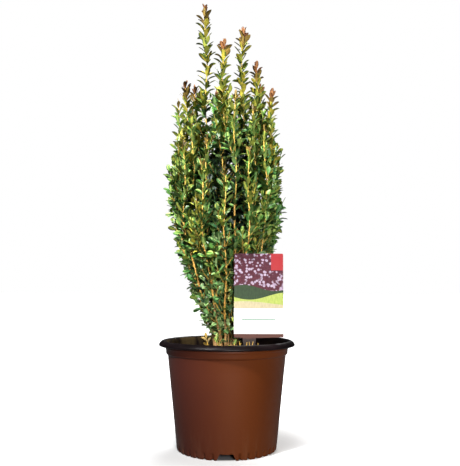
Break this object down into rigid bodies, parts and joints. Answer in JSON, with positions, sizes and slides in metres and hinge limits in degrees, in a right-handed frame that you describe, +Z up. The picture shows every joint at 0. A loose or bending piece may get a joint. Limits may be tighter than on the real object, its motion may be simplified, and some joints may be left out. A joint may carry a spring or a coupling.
{
  "type": "potted japanese holly shrub",
  "caption": "Upright columnar evergreen shrub with small leaves on many slender stems from one root crown, in a round nursery pot with a plain plant label.",
  "frame": {"origin": "on the ground, under the middle of the pot's flat underside", "axes": "+Z up along the pot's axis, +X to the right of the picture, -Y towards the side that the label faces"},
  "size_m": [0.28, 0.28, 0.942],
  "materials": {
    "pot_plastic": "satin brown moulded polypropylene with a near-black rolled lip",
    "soil": "dark moist bark potting mix",
    "bark": "golden tan young bark, matt, darker and rougher at the foot",
    "foliage": "small glossy leaves, dark green below, yellow-green to copper at the shoot tips",
    "label_card": null,
    "label_holder": "brown moulded plastic holder and spike"
  },
  "bodies": {
    "root": {"pot": "pot_plastic", "soil": "soil", "root_crown": "bark", "label_holder": "label_holder", "label_card": "label_card", "bough_01": "bark", "bough_02": "bark", "bough_03": "bark", "bough_04": "bark", "bough_05": "bark", "bough_06": "bark", "bough_07": "bark", "bough_08": "bark", "bough_09": "bark", "bough_10": "bark", "bough_11": "bark", "bough_12": "bark", "bough_13": "bark", "bough_14": "bark", "bough_15": "bark", "bough_16": "bark", "bough_17": "bark", "bough_18": "bark", "bough_19": "bark", "bough_20": "bark", "bough_21": "bark", "bough_22": "bark", "bough_23": "bark", "bough_24": "bark", "foliage_01": "foliage", "foliage_02": "foliage", "foliage_03": "foliage", "foliage_04": "foliage", "foliage_05": "foliage", "foliage_06": "foliage", "foliage_07": "foliage", "foliage_08": "foliage", "foliage_09": "foliage", "foliage_10": "foliage", "foliage_11": "foliage", "foliage_12": "foliage", "foliage_13": "foliage", "foliage_14": "foliage", "foliage_15": "foliage", "foliage_16": "foliage", "foliage_17": "foliage", "foliage_18": "foliage", "foliage_19": "foliage", "foliage_20": "foliage", "foliage_21": "foliage", "foliage_22": "foliage", "foliage_23": "foliage", "foliage_24": "foliage"}
  },
  "joints": []
}
